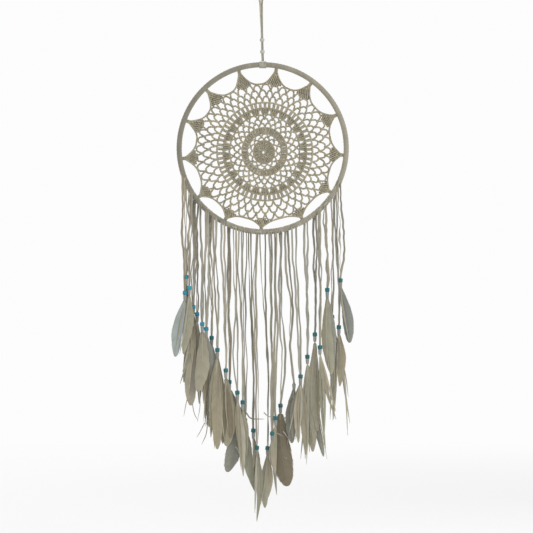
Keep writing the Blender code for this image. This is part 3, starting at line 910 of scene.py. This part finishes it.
def make_pairs(web):
    """Posts in pairs, with a slit of daylight between one pair and the next."""
    inner, outer = np.array(PAIR_REACH) * MM
    for step in range(PAIR_COUNT):
        middle = (step + web.rng.uniform(-0.12, 0.12)) * math.tau / PAIR_COUNT
        for side in (-PAIR_HALF_SPACING, PAIR_HALF_SPACING):
            web.yarn(post(middle + side, inner, outer), 1.6 * MM)


def warped(place):
    """The angle of a place counted in web points from the first."""
    turns = np.concatenate((WEB_POINTS - math.tau, WEB_POINTS, WEB_POINTS + math.tau))
    return np.interp(place, np.arange(-len(WEB_POINTS), 2 * len(WEB_POINTS)), turns)


def make_outer_web(material):
    web = Web(22)
    points = len(WEB_POINTS)
    for row, (foot, top) in enumerate(OUTER_LOOPS):
        half_on = row * points / 2 / OUTER_LOOP_COUNT
        places = warped(np.linspace(0, points, OUTER_LOOP_COUNT + 1) + half_on)
        web.row(places, foot * MM, top * MM, LOOP_YARN_HALF_WIDTH * MM)
    for turn, after in zip(WEB_POINTS, np.append(WEB_POINTS[1:], WEB_POINTS[0] + math.tau)):
        angles = turn + (after - turn) * (0.5 - 0.5 * np.cos(np.linspace(0.03, 0.97, 60) * math.pi))
        web.yarn(web_place(angles, edge_radius(angles) - 1.6 * MM), 1.9 * MM, depth=0.5 * MM)
        fill_point(web, turn)
        tie_point(web, turn)
    made = web.build.piece("web_points", material, "hoop")


def fill_point(web, turn):
    """Rows of short posts that fill one of the web's points up to its concave sides."""
    row, spacing = POINT_ROW_HEIGHT * MM, POINT_POST_SPACING * MM
    for number, low in enumerate(np.arange(POINT_REACH[0] * MM, POINT_REACH[1] * MM, row)):
        widest = np.interp(low, (122 * MM, 130 * MM), (6 * MM, 18 * MM))
        most = int(widest / spacing)
        for step in range(-most, most + 1):
            angle = turn + step * spacing / low
            high = min(low + row, edge_radius(angle) - 0.9 * MM)
            if high < low + 0.8 * MM:
                continue
            # Painted shade: every other post is thinner, darker yarn standing for the shade between
            # posts.
            if (step + number) % 2:
                web.yarn(post(angle, low, high), 1.0 * MM, shade=0.5)
            else:
                web.yarn(post(angle, low, high), 1.95 * MM, shade=1.04)


def tie_point(web, turn):
    """The short bound end of a point, which goes in under the hoop's lace."""
    tip = web_place(turn, edge_radius(turn))
    out = unit(tip - HOOP_CENTRE)
    end = HOOP_CENTRE + out * (HOOP_RADIUS - TUBE_RADIUS + 1.2 * MM)
    across = np.cross(out, TOWARDS_VIEWER)
    for side in (-1, 0, 1):
        start = tip - out * TIE_LENGTH * MM + across * side * TIE_HALF_WIDTH * MM
        web.yarn(np.linspace(start, end + across * side * TIE_END_HALF_WIDTH * MM, 5), 1.5 * MM)


# ---- strands


def body_number(name):
    return int(name[:2])


def body_name(number):
    return f"strand_{number:02d}"


def stands_for_cad(name):
    return name.endswith("a")


def strand_random(name, seed):
    return np.random.default_rng(seed + list(STRANDS).index(name))


def strand_end(name):
    """Where a strand's tails end: in its bead, or where its feather starts."""
    depth, bead, _, _ = STRANDS[name]
    x, z = bead if bead else BEADLESS_END[name]
    return np.array((x, depth, z)) * MM


def tail_line(name, xs, side, rng):
    """The line of one tail, from the hoop down into the bead."""
    depth, bead, _, _ = STRANDS[name]
    end = strand_end(name)
    top = HOOP_CENTRE[2] - math.sqrt(HOOP_RADIUS**2 - (xs[0] * MM - HOOP_CENTRE[0]) ** 2)
    low = end[2] + (BEAD_HALF_HEIGHT if bead else 0)
    shares = np.linspace(0, 1, max(30, round((top - low) / (4 * MM))))
    across = list(np.array(xs) * MM) + [end[0] + side * TAIL_HALF_SPACING]
    fade = np.sin(math.pi * shares) ** 0.45
    kinks = 2.6 * wander(rng, shares, 8) + 1.0 * wander(rng, shares * 7)
    x = through(across, shares) + kinks * fade * MM
    start = math.copysign(LACE_TOP_DEPTH, depth)
    y = start + (end[1] - start) * np.clip(shares * 3, 0, 1) + 0.8 * MM * wander(rng, shares) * fade
    z = top + (low - top) * shares
    line = np.stack((x, y, z), axis=1)
    inside = end + np.array((side * TAIL_HALF_SPACING, 0, -0.3 * BEAD_HALF_HEIGHT))
    return np.concatenate((line, inside[None]))


def make_lace(name, material):
    """One lace folded over the hoop: two flat tails that hang side by side, turning as they hang."""
    _, _, left, right = STRANDS[name]
    body = body_number(name)
    rng = strand_random(name, 100)
    build = Build()
    widest = LACE_HALF_WIDTH * rng.uniform(0.8, 1.15)
    for side, xs in ((-1, left), (1, right)):
        line = tail_line(name, xs, side, rng)
        shares = np.linspace(0, 1, len(line))
        turn = rng.uniform(-0.6, 0.6) + 1.4 * wander(rng, shares, 5)
        narrow = 1 - 0.42 * np.clip((shares - 0.93) / 0.05, 0, 1)
        width = widest * narrow * (1 + 0.12 * wander(rng, shares * 4))
        colour = varied(LACE_COLOUR, rng, 12)
        build.tubes(line, TOWARDS_VIEWER, width, LACE_HALF_THICKNESS, STRAP, colour, turn)
    made = build.piece(f"lace_{name}", material)
    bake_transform(made)
    if stands_for_cad(name):
        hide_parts(f"lace_{body:02d}")


def bead_profile():
    """A short tube with rounded ends, as (radius, height) points."""
    rounding = 1.3 * MM
    outer = []
    for turn in np.radians(np.linspace(0, 90, 5)):
        radius = BEAD_RADIUS - rounding + rounding * math.cos(turn)
        outer.append((radius, BEAD_HALF_HEIGHT - rounding + rounding * math.sin(turn)))
    lower = [(radius, -height) for radius, height in outer[::-1]]
    bore = [(BEAD_HOLE, BEAD_HALF_HEIGHT - 0.5 * MM), (BEAD_HOLE, -BEAD_HALF_HEIGHT + 0.5 * MM)]
    return lower + outer + bore


def make_bead(name, material):
    body = body_number(name)
    rng = strand_random(name, 300)
    lean = unit(np.array((rng.uniform(-0.12, 0.12), rng.uniform(-0.08, 0.08), 1.0)))
    colour = LIGHT_BEAD_COLOUR if body <= LAST_LIGHT_BEAD else BEAD_COLOUR
    build = Build()
    build.turned(bead_profile(), strand_end(name), 28, varied(colour, rng, 8), lean)
    made = build.piece(f"bead_{name}_glass", material, body_name(body))
    if stands_for_cad(name):
        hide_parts(f"bead_{body:02d}")


def make_sleeve(name, material):
    """The tapered sleeve under a bead that grips the quills."""
    body = body_number(name)
    rng = strand_random(name, 500)
    top = strand_end(name) - UP * ((0 if name in BEADLESS_END else BEAD_HALF_HEIGHT) - 0.4 * MM)
    length = SLEEVE_LENGTH * rng.uniform(0.85, 1.1)
    profile = [
        (0.2 * MM, 0),
        (2.5 * MM, 0),
        (3.3 * MM, -0.8 * MM),
        (3.35 * MM, -2.2 * MM),
        (3.1 * MM, -0.55 * length),
        (2.8 * MM, -0.92 * length),
        (2.5 * MM, -length),
        (0.2 * MM, -length),
    ]
    build = Build()
    build.turned(profile[::-1], top, 20, varied(SLEEVE_COLOUR, rng, 8))
    made = build.piece(f"sleeve_{name}", material, body_name(body))


# ---- feathers


def vane_share(place, peak, point):
    """Half a vane's width along the feather, as a share of its widest."""
    rising = np.clip(place / peak, 0, 1)
    falling = np.clip((place - peak) / (1 - peak), 0, 1)
    swell = 0.22 + 0.78 * np.sin(rising * math.pi / 2) ** 1.15
    return swell * ((1 - point) * np.sqrt(1 - falling**2) + point * (1 - falling) ** 0.9)


def add_feather(build, base, tip, width, bow, point, colour, rng):
    """A quill and, on each side of it, a blade for every barb."""
    length = np.linalg.norm(tip - base)
    shares = np.linspace(0, 1, SPINE_POINTS)
    along = unit(tip - base)
    side = unit(np.cross(TOWARDS_VIEWER, along))
    most_roll = min(0.9, 2.5 * MM / (width / 2))
    roll = rng.uniform(-most_roll, most_roll)
    facing = TOWARDS_VIEWER * math.cos(roll) + side * math.sin(roll)
    curve = np.sin(math.pi * shares) ** 1.2
    spine = base + (tip - base) * shares[:, None] + side * (bow * curve)[:, None]
    thick = np.interp(shares, (0, 0.15, 1), (1.0, 0.7, 0.2)) * MM
    short_of_tip = slice(0, SPINE_POINTS - 2, 2)
    quill, quill_thick = spine[short_of_tip], thick[short_of_tip]
    quill_colour = varied(np.array(colour) * 1.1, rng, 4)
    build.tubes(quill, facing, quill_thick, quill_thick, round_section(6), quill_colour)
    tangents = unit(np.gradient(spine, axis=0))
    peak = rng.uniform(0.55, 0.7) - 0.25 * point
    count = max(24, round(length / BARB_PITCH))
    spots = np.linspace(0, 1, count)
    ends = FIRST_BARB + (1 - FIRST_BARB) * (1 - (1 - spots) ** 1.35)
    step = np.linspace(0, 1, 6)
    for way in (-1, 1):
        half = width / 2 * (1 if way > 0 else rng.uniform(0.8, 1.0))
        clump = rng.uniform(-1, 1, count // BARBS_A_CLUMP + 2)
        clump = np.repeat(clump, BARBS_A_CLUMP)[:count]
        reach = half * vane_share(ends, peak, point)
        slope = np.interp(ends, (0, 0.5, 1), (1.5, 1.25, 1.1)) * (1 + 0.05 * clump)
        roots = np.clip(ends - slope * reach / length, 0.02, 0.97)
        forward = (ends - roots) * length
        reach = reach * (1 + 0.05 * clump + rng.uniform(-0.015, 0.015, count)) + 0.15 * MM
        root = at_places(spine, roots * (len(spine) - 1))
        tangent = unit(at_places(tangents, roots * (len(spine) - 1)))
        lateral = unit(np.cross(facing, tangent)) * way
        camber = rng.uniform(0.05, 0.45)
        lines = (
            root[:, None]
            + lateral[:, None] * (reach[:, None] * step**0.9)[..., None]
            + tangent[:, None] * (forward[:, None] * step**1.25)[..., None]
            - facing * (camber * reach[:, None] * step**1.6)[..., None]
        )
        fine = 1 - point * (1 - np.clip((1 - ends) / 0.08, 0.3, 1))[:, None]
        wide = BARB_HALF_WIDTH * fine * np.interp(step, (0, 0.8, 1), (1.0, 0.95, 0.2))
        # Painted shade: darker at the base and by the quill, lighter at tip and edges; clumps vary at
        # random.
        shade = 1 + 0.035 * clump[:, None] + 0.10 * (ends[:, None] - 0.55) + 0.07 * (step - 0.5)
        colours = np.array(varied(colour, rng, 5)) * shade[..., None]
        build.tubes(lines, facing, wide, 0.16 * MM, BLADE, colours)


def add_hackles(build, base, tips, count, rng):
    """Thin pointed feathers among the broad ones."""
    for _ in range(count):
        tip = tips[rng.integers(len(tips))]
        share = rng.uniform(0.8, 1.06)
        aside = np.array((rng.uniform(-9, 6), rng.uniform(-1.5, 1.5), 0)) * MM
        end = base + (tip - base) * share + aside
        end[2] = max(end[2], LOWEST_TIP)
        colour = (BEIGE, OLIVE, PALE)[rng.integers(3)]
        width, bow = rng.uniform(4, 7) * MM, rng.uniform(-4, 4) * MM
        add_feather(build, base, end, width, bow, 0.9, varied(colour, rng, 6), rng)


def make_feathers(material):
    """Each strand's feathers are one piece."""
    rng = np.random.default_rng(77)
    for name in STRANDS:
        body = body_number(name)
        build = Build()
        drop = (0 if name in BEADLESS_END else BEAD_HALF_HEIGHT) + SLEEVE_LENGTH * 0.7
        base = strand_end(name) - UP * drop
        tips = []
        for x, z, width, bow, depth, point, colour in FEATHERS[name]:
            tip = np.array((x * MM, base[1] + depth * MM, z * MM))
            tips.append(tip)
            add_feather(build, base, tip, width * MM, bow * MM, point, varied(colour, rng, 5), rng)
        add_hackles(build, base, tips, HACKLES.get(name, 1), rng)
        made = build.piece(f"feathers_{name}", material, body_name(body))
        if stands_for_cad(name):
            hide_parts(f"feathers_{body:02d}")


def make_strays(material):
    """Single quills that have worked loose and stick out sideways."""
    rng = np.random.default_rng(88)
    for row, (name, places, half_width) in enumerate(STRAYS):
        body = body_number(name)
        depth, _, _, _ = STRANDS[name]
        shares = np.linspace(0, 1, 24)
        x, z = (through([place[i] * MM for place in places], shares) for i in range(2))
        y = (depth + (-1.5 if depth < 0 else 1.5)) * MM + 0.6 * MM * wander(rng, shares)
        line = np.stack((x, y, z), axis=1)
        width = half_width * MM * np.interp(shares, (0, 0.7, 1), (1.0, 0.85, 0.25))
        build = Build()
        build.tubes(line, TOWARDS_VIEWER, width, 0.35 * MM, round_section(6), varied(PALE, rng, 6))
        made = build.piece(f"stray_quill_{row + 1:02d}", material, body_name(body))


# ---- surroundings


def floor_material():
    """Pale paper, which fades into the white of the studio with distance; a soft painted shadow to the
    right.
    """
    material = new_material("pale_floor", Roughness=0.9)
    tree = material.node_tree
    shader = tree.nodes["Principled BSDF"]
    where = add_node(material, "ShaderNodeTexCoord").outputs["Object"]
    far = add_node(material, "ShaderNodeVectorMath", {"operation": "LENGTH"})
    tree.links.new(where, far.inputs[0])
    fade = levels(material, far.outputs["Value"], 0.0, 1.0, *FLOOR_FADE)
    # Painted shadow: the paper and its far glow are darkened to 0.93 near a spot off to the right.
    painted_shadow_distance = add_node(material, "ShaderNodeVectorMath", {"operation": "DISTANCE"})
    tree.links.new(where, painted_shadow_distance.inputs[0])
    painted_shadow_distance.inputs[1].default_value = PAINTED_SHADOW_PLACE
    shade = levels(material, painted_shadow_distance.outputs["Value"], 0.93, 1.0, 0.0, PAINTED_SHADOW_RADIUS)
    paper = levels(material, noise(material, where, 400), 0.925, 0.935)
    tree.links.new(product(material, paper, shade), shader.inputs["Base Color"])
    glow = add_node(material, "ShaderNodeEmission", Color=shade, Strength=STUDIO_WHITE)
    mixed = add_node(material, "ShaderNodeMixShader", Fac=fade)
    tree.links.new(shader.outputs[0], mixed.inputs[1])
    tree.links.new(glow.outputs[0], mixed.inputs[2])
    tree.links.new(mixed.outputs[0], tree.nodes["Material Output"].inputs["Surface"])
    return material


def make_surroundings():
    far = FLOOR_HALF_WIDTH
    corners = [(-far, -far, 0), (far, -far, 0), (far, far, 0), (-far, far, 0)]
    mesh = bpy.data.meshes.new("floor")
    mesh.from_pydata(corners, [], [(0, 1, 2, 3)])
    mesh.materials.append(floor_material())
    floor = bpy.data.objects.new("floor", mesh)
    floor.location.z = FLOOR_HEIGHT
    bpy.context.scene.collection.objects.link(floor)

    world = bpy.data.worlds.new("studio")
    world.use_nodes = True
    background = world.node_tree.nodes["Background"]
    background.inputs["Color"].default_value = (1, 1, 1, 1)
    background.inputs["Strength"].default_value = STUDIO_WHITE
    bpy.context.scene.world = world
    bpy.context.scene.view_settings.view_transform = "Standard"

    lamp = bpy.data.lights.new("key", "AREA")
    lamp.size = KEY_LIGHT_SIZE
    lamp.energy = KEY_LIGHT_WATTS
    light = bpy.data.objects.new("key", lamp)
    light.location = KEY_LIGHT_PLACE
    towards = Vector(KEY_LIGHT_AIM) - Vector(KEY_LIGHT_PLACE)
    light.rotation_euler = towards.to_track_quat("-Z", "Y").to_euler()
    bpy.context.scene.collection.objects.link(light)


def make_camera():
    camera = bpy.data.cameras.new("camera")
    camera.sensor_width = SENSOR_WIDTH
    camera.lens = SENSOR_WIDTH * -CAMERA_PLACE[1] / FRAME_WIDTH
    camera.clip_end = FARTHEST_SEEN
    made = bpy.data.objects.new("camera", camera)
    made.location = CAMERA_PLACE
    made.rotation_euler = (math.radians(90), 0, 0)
    bpy.context.scene.collection.objects.link(made)
    bpy.context.scene.camera = made


make_camera()
make_surroundings()

lace = lace_material()
cord = yarn_material("cotton_cord", 2600)
glass = glass_material()
sleeve = sleeve_material()

make_loop(cord)
make_hanger_beads(wood_material())
make_hanger_knot(cord)
for strand_name in STRANDS:
    make_lace(strand_name, lace)
    if strand_name not in BEADLESS_END:
        make_bead(strand_name, glass)
    make_sleeve(strand_name, sleeve)
feather = feather_material()
make_feathers(feather)
make_strays(feather)
make_wrap(lace)
make_ridges(lace)
make_strand_knots(lace)
yarn = yarn_material("web_yarn", 2200)
make_inner_web(yarn)
make_outer_web(yarn)
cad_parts["hoop_core"].data.materials[0] = steel_material()
